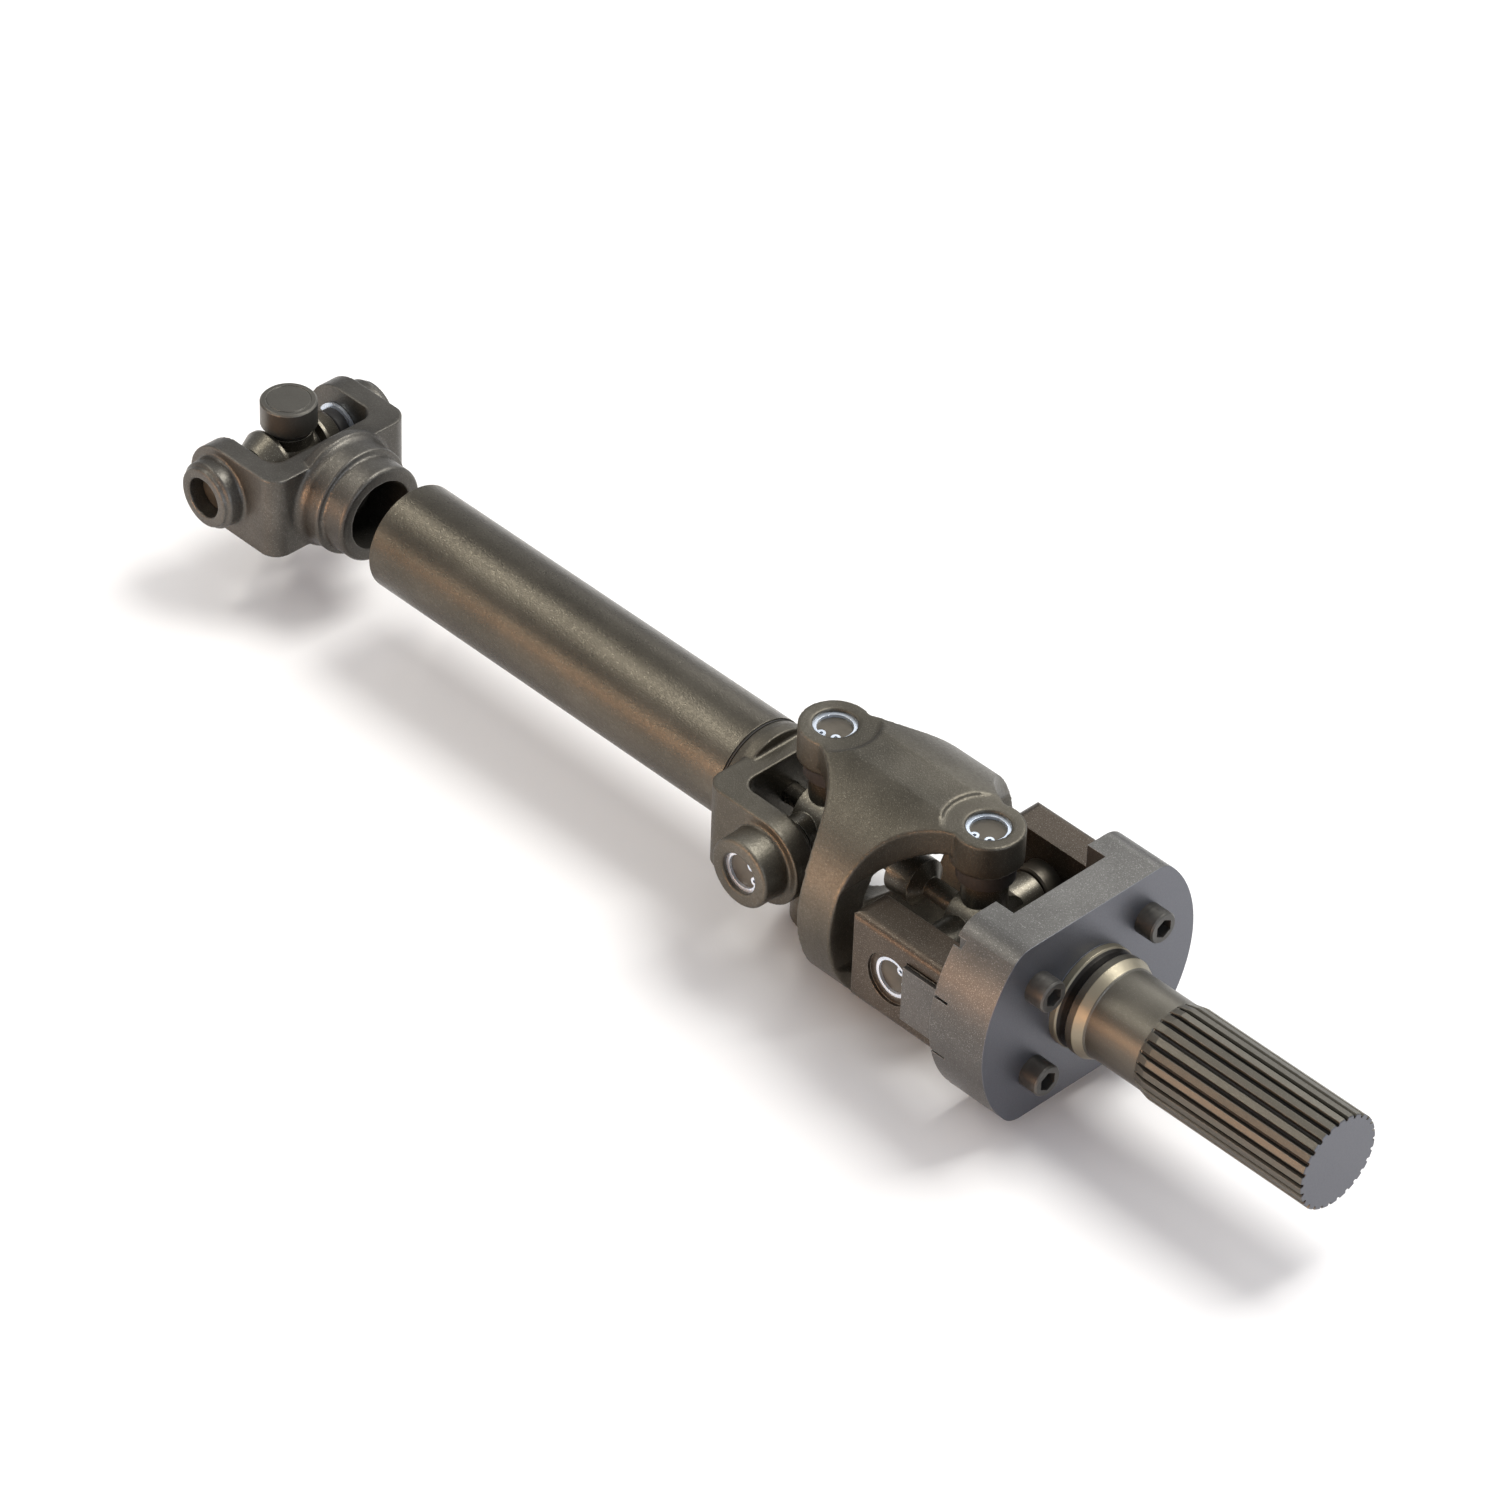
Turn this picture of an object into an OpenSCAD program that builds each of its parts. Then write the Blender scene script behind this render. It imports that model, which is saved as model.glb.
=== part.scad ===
// Universal joint shaft: double-Cardan joint with a splined stub, a tube,
// and a single weld-yoke joint on the other end.
// Millimetres, +Z up. The shaft lies along X, the spline's end face is at
// x = 0 and the rest of the shaft lies toward -X.

/* [Shaft] */
// Tube outside diameter
tube_od = 63.5; // [50:0.5:90]
// Tube wall thickness
tube_wall = 2.65; // [2:0.05:6]
// Tube end toward the double joint (distance from the spline end)
tube_near = 410; // [400:1:430]
// Tube end toward the weld yoke
tube_far = 685; // [600:1:1200]

/* [Joint centres] */
// Outer cross, distance from the spline end
x_outer = 246.75; // [230:0.25:270]
// Inner cross, distance from the spline end
x_inner = 358; // [340:0.25:380]
// Cross of the single joint, distance from the spline end
x_single = 787.6; // [700:0.1:1300]

/* [Splined stub] */
// Spline outside diameter
spline_od = 54.8; // [40:0.2:60]
// Number of spline teeth
teeth = 26; // [16:1:40]
// Depth of a tooth
tooth_depth = 2.2; // [1:0.1:4]
// Full spline length
spline_len = 107.5; // [60:0.5:140]
// Journal diameter behind the spline
journal_d = 51.6; // [40:0.2:60]

/* [Flange] */
// Flange plate outside diameter
flange_d = 154; // [140:1:170]
// Height over the two flats
flange_flats = 112.8; // [100:0.2:130]
// Screw circle, half spacing across the shaft
screw_y = 39.9; // [36:0.1:44]
// Screw circle, half spacing in height
screw_z = 28; // [24:0.5:32]

/* [Bearings] */
// Bearing cup outside diameter in the yoke ears
cup_d = 23.6; // [20:0.1:30]
// Free bearing cup outside diameter on the single joint
free_cup_d = 32.2; // [28:0.1:40]
// Cross trunnion diameter
trunnion_d = 16; // [12:0.5:20]
// Radial running clearance of trunnion in cup
run = 0.04; // [0.02:0.01:0.1]

/* [Coupling yoke] */
// Barrel outside diameter
barrel_d = 135; // [120:1:150]
// Barrel inside diameter
barrel_id = 89.4; // [80:0.2:100]
// Height over the spot-faced ears
ear_height = 129; // [120:1:140]

/* [Hidden] */
$fn = 72;
e = 0.01;
tr = trunnion_d / 2;
cr = cup_d / 2;

// ---------- helpers ----------
// place a child built round +Z onto +Y or -Y
module onto_y(s) { rotate([-90 * s, 0, 0]) children(); }
module both_y() { onto_y(1) children(); onto_y(-1) children(); }
module both_z() { children(); rotate([180, 0, 0]) children(); }
// cylinder along X from x0 to x1
module xcyl(x0, x1, r) { translate([x0, 0, 0]) rotate([0, 90, 0]) cylinder(h = x1 - x0, r = r); }
module xcone(x0, x1, r0, r1) { translate([x0, 0, 0]) rotate([0, 90, 0]) cylinder(h = x1 - x0, r1 = r0, r2 = r1); }
module box(x0, x1, y0, y1, z0, z1) { translate([x0, y0, z0]) cube([x1 - x0, y1 - y0, z1 - z0]); }
module box_y2(x0, x1, y0, y1, z0, z1) { box(x0, x1, y0, y1, z0, z1); box(x0, x1, -y1, -y0, z0, z1); }
// rounded rectangle, sharp where r = 0
module rrect(x0, x1, y0, y1, r) {
  translate([x0 + r, y0]) square([x1 - x0 - 2 * r, y1 - y0]);
  translate([x0, y0 + r]) square([x1 - x0, y1 - y0 - 2 * r]);
  for (x = [x0 + r, x1 - r]) for (y = [y0 + r, y1 - r]) translate([x, y]) circle(r);
}

// bearing cup round +Z: open end at a, closed end at b
module cup(a, b, rin) {
  rotate_extrude() polygon([[rin, a], [cr - 0.6, a], [cr, a + 0.6], [cr, b - 0.8],
    [cr - 0.8, b], [0, b], [0, b - 2.6], [rin, b - 2.6]]);
}
// internal snap ring with two lugs, round +Z, seated at height z
module snap_ring(z, r) {
  translate([0, 0, z]) {
    difference() {
      cylinder(h = 1.8, r = r);
      translate([0, 0, -1]) cylinder(h = 4, r = r - 2.9);
      translate([0, 0, -1]) linear_extrude(4) polygon([[0, 0], [2 * r, -0.55 * r], [2 * r, 0.55 * r]]);
    }
    for (s = [-1, 1]) difference() {
      translate([(r - 3.7) * 0.91, s * (r - 3.7) * 0.47, 0]) cylinder(h = 1.8, r = 2.6, $fn = 28);
      translate([(r - 3.7) * 0.91, s * (r - 3.7) * 0.47, -1]) cylinder(h = 4, r = 1.1, $fn = 16);
    }
  }
}
// dust seal round +Z: steps from the trunnion to the cup's open end
module seal(a, m, b, ro, rin) {
  rotate_extrude() polygon([[tr + 0.5, a], [ro - 1, a], [ro, a + 1], [ro, b], [rin, b], [rin, m], [tr + 0.5, m]]);
}

// ring cross: hub with a through bore along X, four arms
module ring_cross(sy, ty, sz, tz) {
  difference() {
    union() {
      xcyl(-10, 10, 21);
      both_y() { cylinder(h = sy, r = 12.5); cylinder(h = ty - 0.8, r = tr); translate([0, 0, ty - 0.8]) cylinder(h = 0.8, r1 = tr, r2 = tr - 0.8); }
      both_z() { cylinder(h = sz, r = 12.5); cylinder(h = tz - 0.8, r = tr); translate([0, 0, tz - 0.8]) cylinder(h = 0.8, r1 = tr, r2 = tr - 0.8); }
    }
    xcyl(-40, 40, 13);
  }
}

// ---------- stub side ----------
module spline_profile() {
  ro = spline_od / 2; ri = ro - tooth_depth; p = 360 / teeth;
  polygon([for (i = [0:teeth - 1]) for (q = [[ri, -0.38], [ro, -0.28], [ro, 0.28], [ri, 0.38]])
    [q[0] * cos(p * (i + q[1])), q[0] * sin(p * (i + q[1]))]]);
}
// plate outline (x here is height): circle with two flats and rounded corners
module flange_outline() {
  r = 16; cz = flange_flats / 2 - r; cy = sqrt(pow(flange_d / 2 - r, 2) - cz * cz); an = atan2(cy, cz);
  difference() {
    intersection() { circle(flange_d / 2); square([flange_flats, 2 * flange_d], center = true); }
    for (sz = [-1, 1]) for (sy = [-1, 1]) scale([sz, sy]) difference() {
      polygon([[cz, cy], [cz + 60, cy], [cz + 60 * cos(an), cy + 60 * sin(an)]]);
      translate([cz, cy]) circle(r);
    }
  }
}

module splined_flange() color([0.42, 0.40, 0.36]) {
  xs = -spline_len;
  difference() {
    union() {
      intersection() {
        rotate([0, -90, 0]) linear_extrude(-xs + 7) spline_profile();
        rotate([0, 90, 0]) rotate_extrude() polygon([[0, xs - 7], [journal_d / 2, xs - 7], [spline_od / 2, xs],
          [spline_od / 2 , -0.6], [spline_od / 2 - 0.6, 0], [0, 0]]);
      }
      rotate([0, 90, 0]) rotate_extrude() polygon([[0, -172], [29.6, -172], [29.6, -167], [28.8, -166], [27.9, -164.6],
        [27.9, -161], [29.2, -159.6], [29.2, -155.2], [26.2, -149.3], [journal_d / 2, -149], [journal_d / 2, xs - 7], [0, xs - 7]]);
      translate([-171, 0, 0]) rotate([0, -90, 0]) linear_extrude(37.5) flange_outline();
      // side cheeks over the blocks
      box_y2(-235, -200, 67.96, 70.6, -17.2, 17.2);
    }
    // open space behind the plate
    box(-240, -196, -33.2, 33.2, -80, 80);
    // seats of the bearing blocks and of their feet
    box_y2(-240, -196, 33, 67.95, -28.7, 28.7);
    box_y2(-240, -196, 33, 60, -36.6, 36.6);
    // slots along the cheeks
    for (s = [-1, 1]) box_y2(-240, -199, 60, 80, s * 18 - 0.8, s * 18 + 0.8);
    // relief pockets at the top and bottom of the seats
    for (s = [-1, 1]) box_y2(-240, -203, 58, 62.5, s * 42.6 - 6.2, s * 42.6 + 6.2);
    // clearance holes of the screws
    for (y = [-1, 1]) for (z = [-1, 1]) translate([0, y * screw_y, z * screw_z]) xcyl(-210, -165, 6.5);
    // seat of the centring socket
    xcyl(-197, -184, 6);
  }
}

module block(s) {
  bx = -x_outer;
  difference() {
    union() {
      // long block with rounded ends, drawn in side view
      scale([1, s, 1]) translate([bx, 45.8, 0]) rotate([-90, 0, 0]) linear_extrude(21.95)
        union() { rrect(-29.45, 8, -28.4, 28.4, 7); translate([0, -28.4]) square([x_outer - 196, 56.8]); }
      scale([1, s, 1]) box(-208.4, -196, 33.4, 59.8, -36.2, 36.2);
    }
    onto_at(bx, s) {
      translate([0, 0, 30]) cylinder(h = 50, r = cr);
      translate([0, 0, 65.6]) cylinder(h = 10, r = 15.4);
      translate([0, 0, 63.4]) cylinder(h = 1.9, r = cr + 0.9);
    }
    for (z = [-1, 1]) translate([0, s * screw_y, z * screw_z]) xcyl(-212, -190, 5.95);
    // chamfered front corner, then softened outer long edges
    translate([bx - 29.45, s * 67.75, 0]) rotate([0, 0, 45]) cube([4.6, 4.6, 80], center = true);
    for (z = [-1, 1]) scale([1, s, z]) difference() {
      box(-290, -190, 62.75, 70, 23.4, 30);
      translate([0, 62.75, 23.4]) xcyl(-291, -189, 5);
    }
    // grooves along the flange's cheeks
    for (z = [-1, 1]) scale([1, s, z]) box(-235, -190, 64.5, 70, 17.2, 18.8);
  }
}
module onto_at(x, s) { translate([x, 0, 0]) onto_y(s) children(); }

module bearing_block_near() color([0.40, 0.37, 0.33]) block(-1);
module bearing_block_far() color([0.40, 0.37, 0.33]) block(1);

module flange_screws() color([0.22, 0.22, 0.22]) {
  for (y = [-1, 1]) for (z = [-1, 1]) translate([0, y * screw_y, z * screw_z]) difference() {
    union() {
      xcyl(-171, -160, 9);
      xcone(-160, -159, 9, 8.2);
      xcyl(-208, -171 + e, 5.95);
    }
    translate([-166, 0, 0]) rotate([0, 90, 0]) cylinder(h = 12, r = 5.77, $fn = 6);
  }
}

module block_cups() color([0.45, 0.42, 0.38]) for (s = [-1, 1]) onto_at(-x_outer, s) cup(42, 63.4, tr + run);
module block_rings() color([0.72, 0.76, 0.82]) for (s = [-1, 1]) onto_at(-x_outer, s) rotate([0, 0, 25]) snap_ring(63.45, cr + 0.9);
module block_seals() color([0.16, 0.15, 0.15]) for (s = [-1, 1]) onto_at(-x_outer, s) seal(34.5, 41.9, 45.7, 14.6, cr);

// stem and socket that hold the centring ball
module centring_socket() color([0.38, 0.37, 0.35]) {
  rotate([0, 90, 0]) rotate_extrude() polygon([[0, -196 + 12], [6, -196 + 12], [6, -284], [13.4, -289], [13.4, -305.2],
    [10.8, -305.2], [10.8, -291], [0, -291]]);
}

module outer_cross() color([0.36, 0.34, 0.31]) translate([-x_outer, 0, 0]) ring_cross(34, 60.4, 31.5, 56.4);

// ---------- coupling yoke ----------
module coupling_yoke() color([0.41, 0.39, 0.35]) {
  zf = ear_height / 2; mid = -(x_inner + x_outer) / 2; half = (x_inner - x_outer) / 2;
  difference() {
    union() {
      difference() {
        xcyl(-x_inner, -x_outer, barrel_d / 2);
        // sweeps that thin the barrel toward the ears
        for (sx = [-1, 1]) for (sy = [-1, 1]) translate([mid + sx * 70.3, sy * 72.9, -80]) cylinder(h = 160, r = 58.6, $fn = 120);
        // windows that the arms of the two joints pass through
        for (x = [-x_inner, -x_outer]) translate([x, 0, 0]) intersection() {
          rotate([90, 0, 0]) cylinder(h = 160, r = 50, center = true, $fn = 96);
          cube([86.4, 160, 110], center = true);
        }
      }
      for (x = [-x_inner, -x_outer]) translate([x, 0, 0]) both_z() translate([0, 0, 43.4]) cylinder(h = 21, r = 19.5);
    }
    difference() {
      xcyl(-x_inner - 30, -x_outer + 30, barrel_id / 2);
      for (x = [-x_inner, -x_outer]) translate([x, 0, 0]) both_z() translate([0, 0, 43.4]) cylinder(h = 21, r = 16.5);
    }
    // flat lands on the barrel's top and bottom
    both_z() translate([mid - 60, -40, 66.4]) cube([120, 80, 5]);
    for (x = [-x_inner, -x_outer]) translate([x, 0, 0]) both_z() {
      translate([0, 0, zf]) cylinder(h = 12, r = 24.5);
      translate([0, 0, 30]) cylinder(h = 50, r = cr);
      translate([0, 0, 60.2]) cylinder(h = 1.9, r = cr + 0.9);
      translate([0, 0, 30]) cylinder(h = 13.4, r = 16.4);
    }
  }
}
module coupling_cups() color([0.45, 0.42, 0.38]) for (x = [-x_inner, -x_outer]) translate([x, 0, 0]) both_z() cup(39.5, 60.2, tr + run);
module coupling_rings() color([0.72, 0.76, 0.82]) for (x = [-x_inner, -x_outer]) translate([x, 0, 0]) both_z() rotate([0, 0, -70]) snap_ring(60.25, cr + 0.9);
module coupling_seals() color([0.16, 0.15, 0.15]) for (x = [-x_inner, -x_outer]) translate([x, 0, 0]) both_z() seal(32, 39.4, 43.3, 15.7, cr);

// ---------- tube side ----------
module inner_cross() color([0.36, 0.34, 0.31]) translate([-x_inner, 0, 0]) ring_cross(26, 58.6, 31.5, 56.4);

// fork round the origin, opening toward -u when dir = 1 points the base to -X
module fork(boss) {
  difference() {
    union() {
      intersection() {
        translate([0, 0, -26]) linear_extrude(52) difference() {
          rrect(-44.6, 40, -50, 50, 11);
          rrect(-29.6, 60, -36.8, 36.8, 9);
        }
        union() { rotate([90, 0, 0]) cylinder(h = 120, r = 26, center = true); box(-50, 0, -60, 60, -26, 26); }
      }
      both_y() { translate([0, 0, 48]) cylinder(h = boss - 49.2, r = 20.2); translate([0, 0, boss - 1.2 - e]) cylinder(h = 1.2 + e, r1 = 20.2, r2 = 19); }
    }
    both_y() translate([0, 0, 30]) cylinder(h = 50, r = cr);
  }
}

module tube_yoke() color([0.41, 0.39, 0.35]) translate([-x_inner, 0, 0]) difference() {
  union() {
    fork(67);
    xcyl(-46.2, -40, 32.4);
    xcone(-52, -46.2, 31, 32.4);
    xcyl(-64, -50, tube_od / 2 - tube_wall);
  }
  both_y() translate([0, 0, 62.2]) cylinder(h = 1.9, r = cr + 0.9);
  // seat of the centring stud
  xcyl(-45, -29, 6);
  xcyl(-70, -45 - e, 18);
}
module tube() color([0.43, 0.41, 0.38]) difference() {
  xcyl(-tube_far, -tube_near - 1.2, tube_od / 2);
  xcyl(-tube_far - 1, -tube_near + 1, tube_od / 2 - tube_wall);
}
module tube_weld() color([0.12, 0.12, 0.12]) difference() {
  xcyl(-tube_near - 1.2, -tube_near, tube_od / 2 - 0.7);
  xcyl(-tube_near - 3, -tube_near + 3, tube_od / 2 - tube_wall);
}
module tube_yoke_cups() color([0.45, 0.42, 0.38]) for (s = [-1, 1]) onto_at(-x_inner, s) cup(35.5, 62.2, tr + run);
module tube_yoke_rings() color([0.72, 0.76, 0.82]) for (s = [-1, 1]) onto_at(-x_inner, s) rotate([0, 0, 20]) snap_ring(62.25, cr + 0.9);
module tube_yoke_seals() color([0.16, 0.15, 0.15]) for (s = [-1, 1]) onto_at(-x_inner, s) seal(27, 35.4, 36.7, 14, cr);
module centring_stud() color([0.42, 0.41, 0.39]) {
  m = -(x_inner + x_outer) / 2;
  rotate([0, 90, 0]) rotate_extrude() union() {
    translate([0, m]) intersection() { circle(9); translate([0, -10]) square(20); }
    translate([0, -x_inner - 45]) square([6, 45 + x_inner + m]);
  }
}

// ---------- weld-yoke end ----------
module weld_yoke() color([0.41, 0.39, 0.36]) translate([-x_single, 0, 0]) difference() {
  union() {
    mirror([1, 0, 0]) fork(60.2);
    for (s = [-1, 1]) onto_at(0, s) { translate([0, 0, 59]) cylinder(h = 3.4, r = 18); translate([0, 0, 62.4]) cylinder(h = 0.6, r1 = 18, r2 = 17.4); }
    // weld collar and pilot
    rotate([0, 90, 0]) rotate_extrude() polygon([[0, 38], [34, 38], [35.4, 44.6], [33.4, 46.4], [32.6, 49], [32.6, 59.6], [31.8, 60.6],
      [tube_od / 2 - tube_wall - 0.05, 60.6], [tube_od / 2 - tube_wall - 0.05, 75], [tube_od / 2 - tube_wall - 1.6, 76.6], [0, 76.6]]);
  }
  xcyl(46, 80, 20.7);
  both_y() translate([0, 0, 30]) cylinder(h = 50, r = cr);
}
module weld_yoke_cups() color([0.45, 0.42, 0.38]) for (s = [-1, 1]) onto_at(-x_single, s) cup(34.2, 53.5, tr + run);
// open retaining clips round the inboard ends of the cups
module weld_yoke_clips() color([0.60, 0.62, 0.64]) for (s = [-1, 1]) onto_at(-x_single, s) translate([0, 0, 35]) difference() {
  cylinder(h = 1.7, r = 15.4);
  translate([0, 0, -1]) cylinder(h = 4, r = cr);
  translate([0, 0, -1]) linear_extrude(4) polygon([[0, 0], [-30, -14], [-30, 14]]);
}
module weld_yoke_seals() color([0.16, 0.15, 0.15]) for (s = [-1, 1]) onto_at(-x_single, s) seal(28, 34.1, 34.9, 12.8, cr);

module end_cross() color([0.44, 0.42, 0.38]) translate([-x_single, 0, 0]) difference() {
  union() {
    sphere(r = 17);
    both_y() {
      cylinder(h = 13, r = 14);
      translate([0, 0, 12.9]) cylinder(h = 1.2, r1 = 14, r2 = 20);
      translate([0, 0, 14]) cylinder(h = 2, r = 20);
      translate([0, 0, 16]) cylinder(h = 10.6, r1 = 20, r2 = 14.6);
      cylinder(h = 50, r = tr);
    }
    both_z() { cylinder(h = 17.6, r = 13.4); cylinder(h = 33.6, r = 10); }
  }
  // grease drilling
  translate([-30, 0, 0]) rotate([0, 90, 0]) cylinder(h = 22, r = 2.5, $fn = 24);
}
module end_cross_fitting() color([0.55, 0.50, 0.38]) translate([-x_single, 0, 0]) rotate([0, -90, 0]) rotate_extrude($fn = 32)
  polygon([[0, 10], [2.5, 10], [2.5, 17], [4, 17], [4, 19.6], [2.2, 20.4], [1.6, 21.4], [2.2, 22.4], [1.2, 23.4], [0, 23.4]]);
module free_cup() {
  r = free_cup_d / 2;
  rotate_extrude() polygon([[10.6, 18], [12.8, 18], [13.2, 18.5], [13.2, 21.2], [r - 0.8, 21.2], [r, 22], [r, 36.2], [r - 1, 37.2],
    [12.8, 37.2], [12.8, 36.8], [12, 36.8], [12, 37.2], [0, 37.2], [0, 34], [10 + run, 34], [10 + run, 21], [10.6, 20.6]]);
}
module free_cup_top() color([0.30, 0.30, 0.30]) translate([-x_single, 0, 0]) free_cup();
module free_cup_bottom() color([0.30, 0.30, 0.30]) translate([-x_single, 0, 0]) rotate([180, 0, 0]) free_cup();

splined_flange();
bearing_block_near();
bearing_block_far();
flange_screws();
block_cups();
block_rings();
block_seals();
centring_socket();
outer_cross();
coupling_yoke();
coupling_cups();
coupling_rings();
coupling_seals();
inner_cross();
tube_yoke();
tube();
tube_weld();
tube_yoke_cups();
tube_yoke_rings();
tube_yoke_seals();
centring_stud();
weld_yoke();
weld_yoke_cups();
weld_yoke_clips();
weld_yoke_seals();
end_cross();
end_cross_fitting();
free_cup_top();
free_cup_bottom();
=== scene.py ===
"""Looks for the universal joint shaft: materials, rounded forgings, floor, light and camera.

Metres, +Z up, in the CAD's frame: the shaft lies along X, the spline's end
face is at x = 0 and the rest of the shaft lies toward -X.
"""
import math

import bpy
import bmesh
from mathutils import Matrix, Vector


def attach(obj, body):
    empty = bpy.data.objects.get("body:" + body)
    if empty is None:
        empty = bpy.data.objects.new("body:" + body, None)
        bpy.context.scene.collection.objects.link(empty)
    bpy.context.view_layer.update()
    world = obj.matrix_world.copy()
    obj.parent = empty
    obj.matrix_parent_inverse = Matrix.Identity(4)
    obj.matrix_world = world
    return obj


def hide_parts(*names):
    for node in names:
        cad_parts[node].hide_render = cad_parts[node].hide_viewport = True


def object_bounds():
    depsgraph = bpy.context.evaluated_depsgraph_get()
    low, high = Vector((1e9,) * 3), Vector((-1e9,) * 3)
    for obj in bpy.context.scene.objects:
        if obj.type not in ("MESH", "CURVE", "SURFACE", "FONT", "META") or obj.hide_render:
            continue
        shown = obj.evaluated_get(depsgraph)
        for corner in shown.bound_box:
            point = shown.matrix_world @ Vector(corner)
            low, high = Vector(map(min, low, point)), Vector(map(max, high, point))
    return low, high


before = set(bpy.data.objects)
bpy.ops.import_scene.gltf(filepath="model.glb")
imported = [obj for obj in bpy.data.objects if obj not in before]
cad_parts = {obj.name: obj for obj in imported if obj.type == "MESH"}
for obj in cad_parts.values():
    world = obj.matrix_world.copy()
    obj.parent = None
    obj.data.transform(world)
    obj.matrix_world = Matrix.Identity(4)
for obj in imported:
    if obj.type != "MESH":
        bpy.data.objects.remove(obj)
cad_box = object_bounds()


# ---------------------------------------------------------------- node helpers
class Tree:
    """A new material's node tree, with short calls for the nodes used here."""

    def __init__(self, name):
        self.mat = bpy.data.materials.new(name)
        self.mat.use_nodes = True
        self.nt = self.mat.node_tree
        self.nt.nodes.clear()
        out = self.add("ShaderNodeOutputMaterial")
        self.bsdf = self.add("ShaderNodeBsdfPrincipled")
        self.link(self.bsdf.outputs[0], out.inputs[0])

    def add(self, kind, **values):
        n = self.nt.nodes.new(kind)
        for k, v in values.items():
            setattr(n, k, v)
        return n

    def link(self, a, b):
        self.nt.links.new(a, b)

    def put(self, value, socket):
        """Links a socket in, or sets a number or a colour on the socket."""
        if isinstance(value, (int, float)):
            socket.default_value = value
        elif isinstance(value, tuple):
            socket.default_value = (*value, 1)
        else:
            self.link(value, socket)

    def set(self, name, value):
        """The same for an input of the surface shader."""
        self.put(value, self.bsdf.inputs[name])

    def coords(self, stretch=(1, 1, 1)):
        tc = self.add("ShaderNodeTexCoord")
        mp = self.add("ShaderNodeMapping")
        mp.inputs["Scale"].default_value = stretch
        self.link(tc.outputs["Object"], mp.inputs[0])
        return mp.outputs[0]

    def axial(self):
        """Distance along the shaft and radius about it."""
        sep = self.add("ShaderNodeSeparateXYZ")
        self.link(self.add("ShaderNodeTexCoord").outputs["Object"], sep.inputs[0])
        across = self.add("ShaderNodeCombineXYZ")
        self.link(sep.outputs["Y"], across.inputs["Y"])
        self.link(sep.outputs["Z"], across.inputs["Z"])
        length = self.add("ShaderNodeVectorMath", operation="LENGTH")
        self.link(across.outputs[0], length.inputs[0])
        return sep.outputs["X"], length.outputs["Value"]

    def noise(self, where, scale, detail=4.0, rough=0.55):
        n = self.add("ShaderNodeTexNoise")
        n.inputs["Scale"].default_value = scale
        n.inputs["Detail"].default_value = detail
        n.inputs["Roughness"].default_value = rough
        self.link(where, n.inputs["Vector"])
        return n.outputs["Fac"]

    def ramp(self, fac, stops):
        r = self.add("ShaderNodeValToRGB")
        el = r.color_ramp.elements
        while len(el) < len(stops):
            el.new(0.5)
        for e, (position, colour) in zip(el, stops):
            e.position = position
            e.color = (*colour, 1)
        self.link(fac, r.inputs[0])
        return r.outputs[0]

    def span(self, fac, a, b, lo, hi):
        """Maps a..b onto lo..hi, and holds the ends."""
        m = self.add("ShaderNodeMapRange")
        for k, v in zip(("From Min", "From Max", "To Min", "To Max"), (a, b, lo, hi)):
            m.inputs[k].default_value = v
        self.link(fac, m.inputs["Value"])
        return m.outputs[0]

    def math(self, op, a, b):
        m = self.add("ShaderNodeMath", operation=op)
        self.put(a, m.inputs[0])
        self.put(b, m.inputs[1])
        return m.outputs[0]

    def blend(self, a, b, share):
        """share of a and the rest of b."""
        return self.math("ADD", self.math("MULTIPLY", a, share), self.math("MULTIPLY", b, 1 - share))

    def within(self, value, lo, hi):
        """1 where lo < value < hi."""
        return self.math(
            "MULTIPLY", self.math("GREATER_THAN", value, lo), self.math("LESS_THAN", value, hi)
        )

    def mix(self, fac, a, b):
        m = self.add("ShaderNodeMix", data_type="RGBA")
        self.put(fac, m.inputs[0])
        self.put(a, m.inputs[6])
        self.put(b, m.inputs[7])
        return m.outputs[2]

    def edges(self, radius):
        """Rounded normal, and a mask that is 1 on edges."""
        bev = self.add("ShaderNodeBevel", samples=4)
        bev.inputs["Radius"].default_value = radius
        geo = self.add("ShaderNodeNewGeometry")
        dot = self.add("ShaderNodeVectorMath", operation="DOT_PRODUCT")
        self.link(bev.outputs[0], dot.inputs[0])
        self.link(geo.outputs["Normal"], dot.inputs[1])
        return bev.outputs[0], self.span(dot.outputs["Value"], 0.995, 0.80, 0.0, 1.0)

    def bump(self, height, distance, strength, normal=None):
        b = self.add("ShaderNodeBump")
        b.inputs["Distance"].default_value = distance
        b.inputs["Strength"].default_value = strength
        self.link(height, b.inputs["Height"])
        if normal is not None:
            self.link(normal, b.inputs["Normal"])
        return b.outputs[0]


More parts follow.
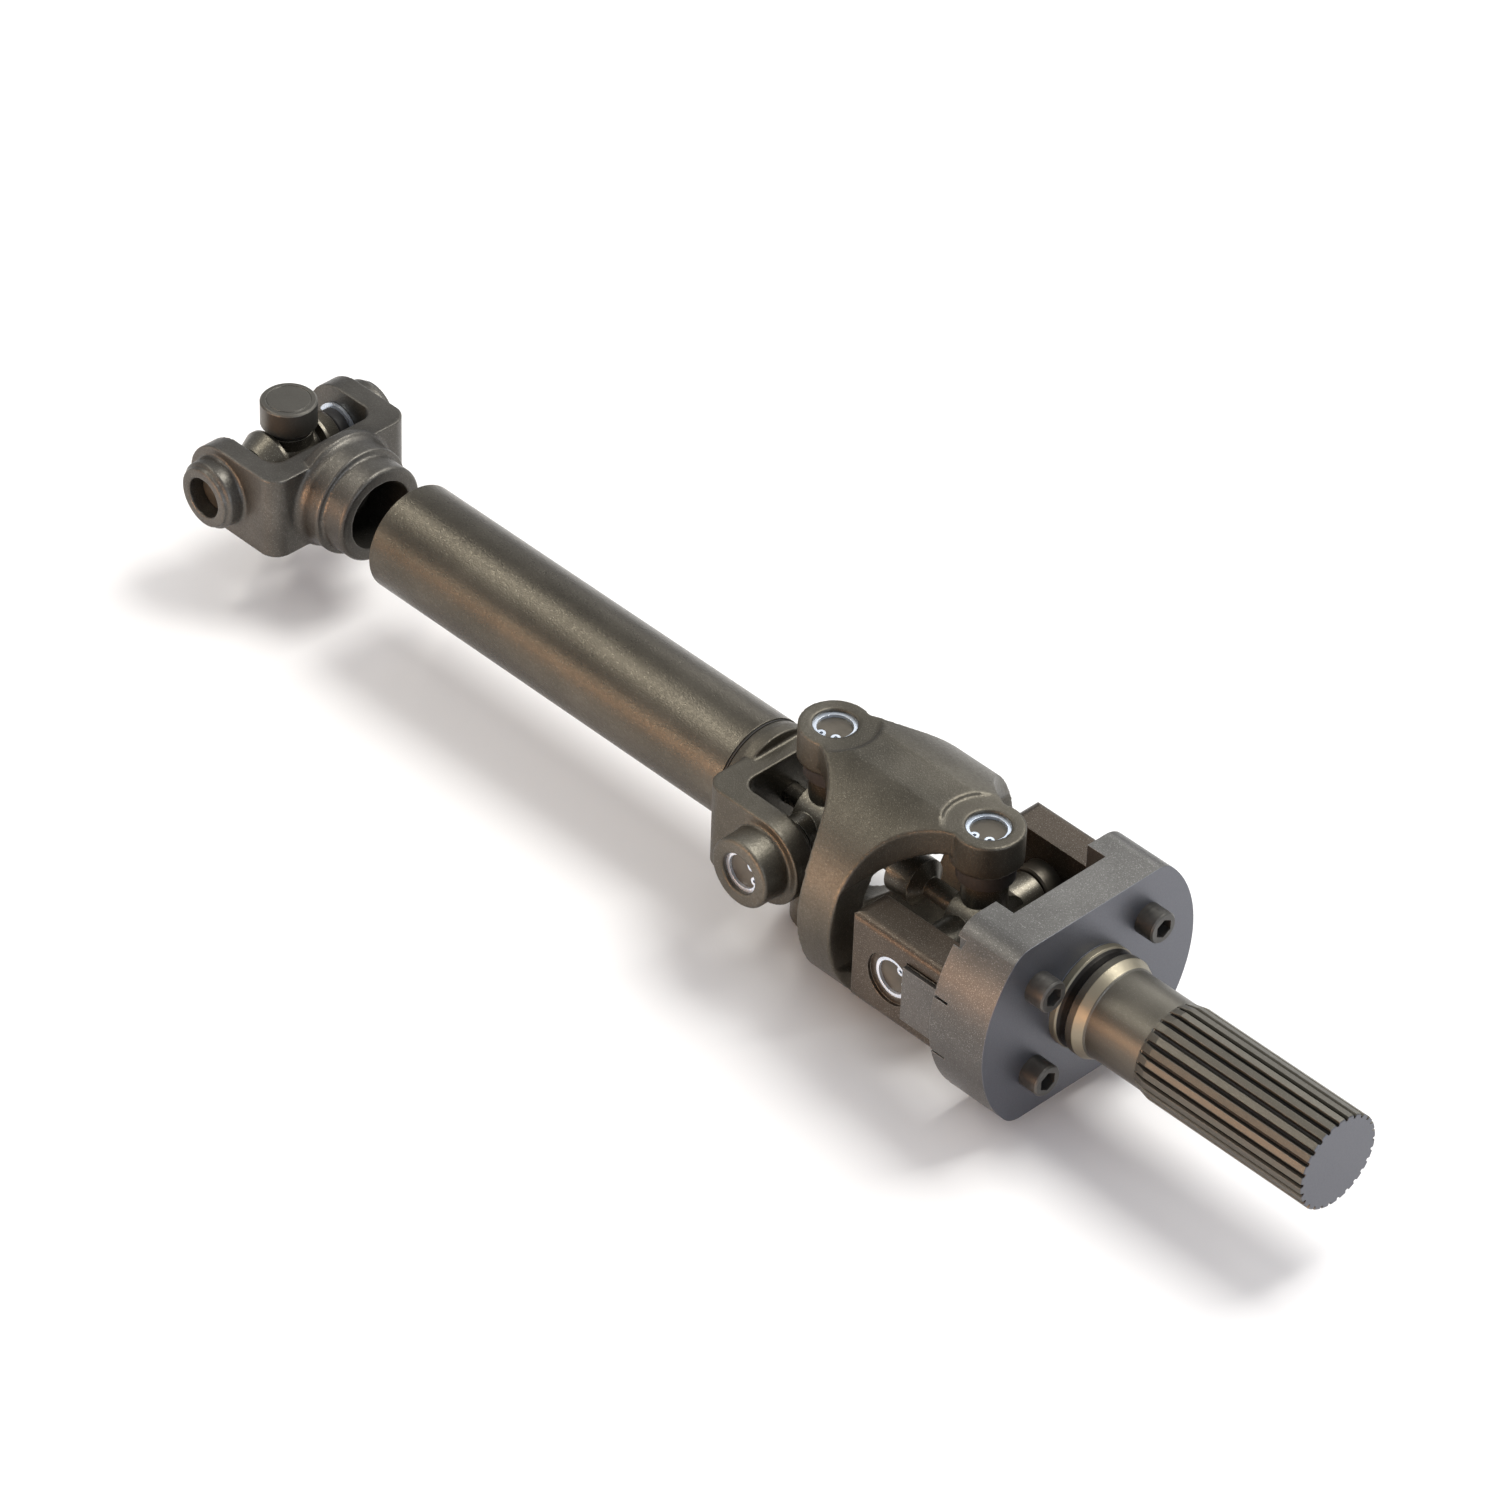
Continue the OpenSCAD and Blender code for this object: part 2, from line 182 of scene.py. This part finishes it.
# ---------------------------------------------------------------- materials
def steel(name, dark, mid, light, worn, grain, rough=(0.34, 0.5), depth=0.00012,
          radius=0.0007, stretch=(1, 1, 1), painted_glint=0.5):
    """Blasted or rolled steel: cloudy colour, fine speckled grain in the bumps, bright specks of
    painted glint in the colour, brighter worn edges.
    """
    t = Tree(name)
    at = t.coords(stretch)
    cloud = t.noise(at, 14, 5, 0.6)
    fine = t.noise(at, grain, 3, 0.7)
    speck = t.noise(at, grain * 2.3, 1, 0.5)
    colour = t.ramp(cloud, [(0.32, dark), (0.5, mid), (0.68, light)])
    colour = t.mix(t.span(fine, 0.42, 0.62, 0.0, 0.35), colour, dark)
    normal, edge = t.edges(radius)
    # Bright specks of the worn colour: painted glints, standing in for the glitter of light on the
    # blasted grain.
    colour = t.mix(t.span(speck, 0.60, 0.72, 0.0, painted_glint), colour, worn)
    patchy = t.span(t.noise(at, 160, 3, 0.6), 0.35, 0.6, 0.15, 0.8)
    t.colour = t.mix(t.math("MULTIPLY", edge, patchy), colour, worn)
    t.set("Base Color", t.colour)
    t.set("Roughness", t.span(t.blend(fine, cloud, 0.6), 0.35, 0.65, *rough))
    t.set("Metallic", 0.8)
    height = t.math("ADD", t.math("MULTIPLY", fine, 0.7), t.math("MULTIPLY", speck, 0.5))
    t.set("Normal", t.bump(height, depth, 0.8, normal))
    return t


def turned(name, base, light, rough=0.25, rings=900.0, axis="X", radius=0.0004):
    """Machined steel with fine turning marks about one axis and small stains."""
    t = Tree(name)
    at = t.add("ShaderNodeTexCoord").outputs["Object"]
    sep = t.add("ShaderNodeSeparateXYZ")
    t.link(at, sep.inputs[0])
    line = t.add("ShaderNodeTexNoise", noise_dimensions="1D")
    line.inputs["Scale"].default_value = rings
    line.inputs["Detail"].default_value = 2
    t.link(sep.outputs[axis], line.inputs["W"])
    marks = line.outputs["Fac"]
    stain = t.noise(at, 60, 4, 0.6)
    normal, edge = t.edges(radius)
    colour = t.mix(t.span(stain, 0.35, 0.65, 0.0, 1.0), base, light)
    worn = tuple(min(1, c * 1.6) for c in light)
    t.set("Base Color", t.mix(t.math("MULTIPLY", edge, 0.6), colour, worn))
    t.set("Roughness", t.span(t.blend(marks, stain, 0.5), 0.35, 0.65, rough, rough + 0.16))
    t.set("Metallic", 0.7)
    t.set("Normal", t.bump(marks, 0.00003, 0.6, normal))
    return t


def rubber(name, base):
    """Matt dark rubber with a slight mottle; also the near-black painted shade on the weld line."""
    t = Tree(name)
    at = t.coords()
    grain = t.noise(at, 900, 3)
    lighter = tuple(c * 2.2 for c in base)
    t.set("Base Color", t.mix(t.span(t.noise(at, 50), 0.35, 0.65, 0, 1), base, lighter))
    t.set("Roughness", t.span(grain, 0.3, 0.7, 0.5, 0.7))
    t.set("Normal", t.bump(grain, 0.0001, 0.5))
    return t


# places on the splined stub, along X, and radii about X
PLATE_FACE = -0.1710
BEADS = (-0.1703, -0.1662), (-0.1556, -0.1500)
NECK = (-0.1660, -0.1600)
TEETH = (-0.1135, -0.0004)
END_FACE = -0.0003
STUB_R = 0.031
TOOTH_ROOT_R = (0.0254, 0.0262)
FACE_DEPTH = 0.0003


def flange_look():
    """Plate steel: machined plate and end surfaces with a painted cool reflection, a warmer stub, two
    bright beads, and painted shade in the recess behind the first bead and between the spline teeth.
    """
    t = steel("flange_steel", (0.080, 0.078, 0.074), (0.112, 0.109, 0.104),
              (0.145, 0.142, 0.136), (0.36, 0.36, 0.35), 760,
              rough=(0.32, 0.46), depth=0.00009, radius=0.0006)
    x, r = t.axial()
    slim = t.math("LESS_THAN", r, STUB_R)
    ahead = t.span(x, PLATE_FACE - 0.0002, PLATE_FACE + 0.0004, 0.0, 0.75)
    colour = t.mix(ahead, t.colour, (0.118, 0.108, 0.086))
    # Machined plate and end surfaces: lighter steel, tinted cool blue as a painted reflection of the
    # cool light from +X.
    machined_faces_and_sheen = t.math("ADD", t.within(x, PLATE_FACE - FACE_DEPTH, PLATE_FACE + FACE_DEPTH),
                   t.math("GREATER_THAN", x, END_FACE))
    colour = t.mix(t.math("MULTIPLY", machined_faces_and_sheen, 0.8), colour, (0.135, 0.140, 0.162))
    beads = t.math("ADD", t.within(x, *BEADS[0]), t.within(x, *BEADS[1]))
    colour = t.mix(t.math("MULTIPLY", beads, slim), colour, (0.27, 0.242, 0.18))
    # Near black beside the first bead: painted shade in that recess.
    painted_neck_shade = t.math("MULTIPLY", t.within(x, *NECK), slim)
    colour = t.mix(painted_neck_shade, colour, (0.020, 0.018, 0.016))
    # Near black at the roots of the spline teeth: painted shade between the teeth.
    painted_groove_shade = t.math("MULTIPLY", t.within(x, *TEETH), t.span(r, *TOOTH_ROOT_R, 1.0, 0.0))
    t.set("Base Color", t.mix(painted_groove_shade, colour, (0.012, 0.011, 0.010)))
    return t


# steel(name, dark, mid, light, worn edge and painted glint colour, grain scale) and turned(name,
# base, light, roughness)
FORGED = steel("forged_steel", (0.060, 0.054, 0.042), (0.092, 0.083, 0.066),
               (0.130, 0.120, 0.098), (0.34, 0.32, 0.27), 620, depth=0.00022, painted_glint=0.22)
CAST = steel("blasted_forging", (0.056, 0.052, 0.046), (0.086, 0.080, 0.070),
             (0.122, 0.115, 0.102), (0.36, 0.35, 0.32), 620,
             rough=(0.30, 0.46), depth=0.00022, painted_glint=0.22)
# Bearing blocks: the steel's own tone darkened and browned, as painted shade and a painted warm
# reflection on the blocks.
SHADED_BLOCK = steel("block_steel_painted_shade", (0.048, 0.038, 0.029), (0.070, 0.055, 0.042),
              (0.095, 0.078, 0.060), (0.30, 0.28, 0.24), 800, rough=(0.30, 0.44), depth=0.00007)
PLATE = flange_look()
TUBE = steel("drawn_tube", (0.062, 0.055, 0.043), (0.094, 0.084, 0.066),
             (0.130, 0.118, 0.095), (0.30, 0.28, 0.23), 620,
             rough=(0.24, 0.38), depth=0.00022, stretch=(0.6, 1, 1), painted_glint=0.15)
CUP = turned("cup_steel", (0.085, 0.075, 0.060), (0.125, 0.110, 0.088), 0.3, axis="Y")
FREE = steel("free_cup_steel", (0.092, 0.087, 0.076), (0.118, 0.112, 0.098),
             (0.14, 0.133, 0.117), (0.26, 0.25, 0.23), 900,
             rough=(0.36, 0.48), depth=0.00004, radius=0.0005, painted_glint=0.15)
RING = turned("bright_ring", (0.60, 0.68, 0.80), (0.78, 0.84, 0.93), 0.22, rings=300.0, radius=0.0002)
BEAD = turned("bead_band", (0.50, 0.44, 0.32), (0.62, 0.55, 0.42), 0.22, rings=1400.0)
SCREW = turned("black_oxide", (0.070, 0.067, 0.061), (0.120, 0.115, 0.105), 0.34, rings=700.0)
# The weld line is near black: painted shade in the thin groove at the weld.
WELD_SHADE = rubber("weld_shadow", (0.010, 0.009, 0.008))
SEAL = rubber("seal_rubber", (0.016, 0.015, 0.015))
CROSS = steel("cross_steel", (0.085, 0.076, 0.060), (0.125, 0.114, 0.092),
              (0.18, 0.165, 0.135), (0.42, 0.40, 0.34), 650, rough=(0.27, 0.42), depth=0.00008)

LOOKS = {
    PLATE: ["splined_flange"],
    SHADED_BLOCK: ["bearing_block_near", "bearing_block_far"],
    SCREW: ["flange_screws"],
    FORGED: ["coupling_yoke", "tube_yoke"],
    CAST: ["weld_yoke"],
    TUBE: ["tube"],
    WELD_SHADE: ["tube_weld"],
    CROSS: ["outer_cross", "inner_cross", "end_cross", "centring_socket", "centring_stud"],
    CUP: ["block_cups", "coupling_cups", "tube_yoke_cups", "weld_yoke_cups",
          "block_seals", "tube_yoke_seals"],
    RING: ["block_rings", "coupling_rings", "tube_yoke_rings", "weld_yoke_clips"],
    SEAL: ["coupling_seals", "weld_yoke_seals"],
    FREE: ["free_cup_top", "free_cup_bottom"],
    BEAD: ["end_cross_fitting"],
}


def node_object(name):
    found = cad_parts[name]
    return found if hasattr(found, "data") else bpy.data.objects[found]


for look, names in LOOKS.items():
    for name in names:
        obj = node_object(name)
        if not obj.material_slots:
            obj.data.materials.append(look.mat)
        for s in obj.material_slots:
            s.material = look.mat


# ---------------------------------------------------------------- rounded forgings
def apply_modifiers(obj):
    dg = bpy.context.evaluated_depsgraph_get()
    mesh = bpy.data.meshes.new_from_object(obj.evaluated_get(dg))
    obj.modifiers.clear()
    obj.data = mesh


def rounded(node, body, look, voxel, inset=0.0):
    """A copy of a forging with its edges rounded off in the mesh.

    inset draws the surface in, so that a sliding fit keeps its clearance.
    """
    src = node_object(node)
    piece = src.copy()
    piece.data = src.data.copy()
    piece.name = node + "_forging"
    piece.parent = None
    bpy.context.scene.collection.objects.link(piece)
    bm = bmesh.new()
    bm.from_mesh(piece.data)
    bmesh.ops.remove_doubles(bm, verts=bm.verts, dist=1e-6)
    bm.to_mesh(piece.data)
    bm.free()
    grid = piece.modifiers.new("grid", "REMESH")
    grid.mode = "VOXEL"
    grid.voxel_size = voxel
    soften = piece.modifiers.new("soften", "SMOOTH")
    soften.factor = 0.5
    soften.iterations = 2
    if inset:
        fit = piece.modifiers.new("clearance", "DISPLACE")
        fit.mid_level = 0.0
        fit.strength = -inset
    apply_modifiers(piece)
    for p in piece.data.polygons:
        p.use_smooth = True
    piece.data.materials.clear()
    piece.data.materials.append(look.mat)
    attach(piece, body)
    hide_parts(node)


rounded("weld_yoke", "weld_yoke", CAST, 0.0008, inset=0.00015)
rounded("tube_yoke", "tube_shaft", FORGED, 0.0008)
rounded("coupling_yoke", "coupling", FORGED, 0.0010)


# ---------------------------------------------------------------- floor
FLOOR_X = (-9, 8)
FLOOR_Y = (-9, 9)
FLOOR_GAP = 0.0005

paint = Tree("studio_floor")
paint.set("Base Color", (0.86, 0.86, 0.87))
paint.set("Roughness", 0.8)
z = cad_box[0][2] - FLOOR_GAP
corners = [(FLOOR_X[i], FLOOR_Y[j], z) for i, j in ((0, 0), (1, 0), (1, 1), (0, 1))]
sheet = bpy.data.meshes.new("studio_floor")
sheet.from_pydata(corners, [], [(0, 1, 2, 3)])
sheet.materials.append(paint.mat)
floor = bpy.data.objects.new("studio_floor", sheet)
bpy.context.scene.collection.objects.link(floor)


# ---------------------------------------------------------------- light
AIM = Vector((-0.40, 0, 0))


def area(name, at, size, power, colour, spread=180):
    """A soft box at a point, facing the middle of the shaft."""
    ld = bpy.data.lights.new(name, "AREA")
    ld.shape = "RECTANGLE"
    ld.size, ld.size_y = size
    ld.energy = power
    ld.color = colour
    ld.spread = math.radians(spread)
    lo = bpy.data.objects.new(name, ld)
    bpy.context.scene.collection.objects.link(lo)
    lo.location = at
    lo.rotation_euler = (AIM - Vector(at)).to_track_quat("-Z", "Y").to_euler()


area("key", (-0.1, 1.0, 2.0), (1.1, 1.1), 44, (1.0, 0.985, 0.94))
area("streak_high", (-1.5, -0.62, 1.55), (2.2, 0.16), 13, (1.0, 0.96, 0.86))
area("streak_low", (-1.5, -1.66, 0.36), (2.2, 0.10), 5, (1.0, 0.86, 0.70))
area("back_fill", (-0.8, 2.0, 1.4), (2.2, 0.8), 14, (1.0, 0.99, 0.97))
area("cool_side", (2.3, -0.2, 0.7), (1.2, 0.9), 20, (0.74, 0.84, 1.0))
area("warm_low", (-0.5, -1.9, 0.12), (2.6, 0.35), 6, (1.0, 0.55, 0.30), spread=70)

world = bpy.context.scene.world or bpy.data.worlds.new("studio")
bpy.context.scene.world = world
world.use_nodes = True
bg = world.node_tree.nodes.get("Background") or world.node_tree.nodes.new("ShaderNodeBackground")
bg.inputs["Color"].default_value = (0.93, 0.95, 1.0, 1)
bg.inputs["Strength"].default_value = 0.47


# ---------------------------------------------------------------- camera
AZIMUTH = math.radians(44.76)
ELEVATION = math.radians(38.8)
ROLL = math.radians(2.14)
DISTANCE = 3.69
LENS_MM = 168.3
SHAFT_MIDDLE = Vector((-0.4192, 0.0, 0.0))
RAISED = 0.0075

sa, ca = math.sin(AZIMUTH), math.cos(AZIMUTH)
se, ce = math.sin(ELEVATION), math.cos(ELEVATION)
target = SHAFT_MIDDLE + RAISED * Vector((-sa * se, ca * se, ce))
cd = bpy.data.cameras.new("camera")
cd.lens = LENS_MM
cd.sensor_width = 36
cd.clip_end = 50
cam = bpy.data.objects.new("camera", cd)
bpy.context.scene.collection.objects.link(cam)
cam.location = target + DISTANCE * Vector((sa * ce, -ca * ce, se))
look_at = (target - cam.location).to_track_quat("-Z", "Y").to_matrix().to_4x4()
cam.matrix_world = Matrix.Translation(cam.location) @ look_at @ Matrix.Rotation(ROLL, 4, "Z")
bpy.context.scene.camera = cam
bpy.context.scene.view_settings.view_transform = "Standard"
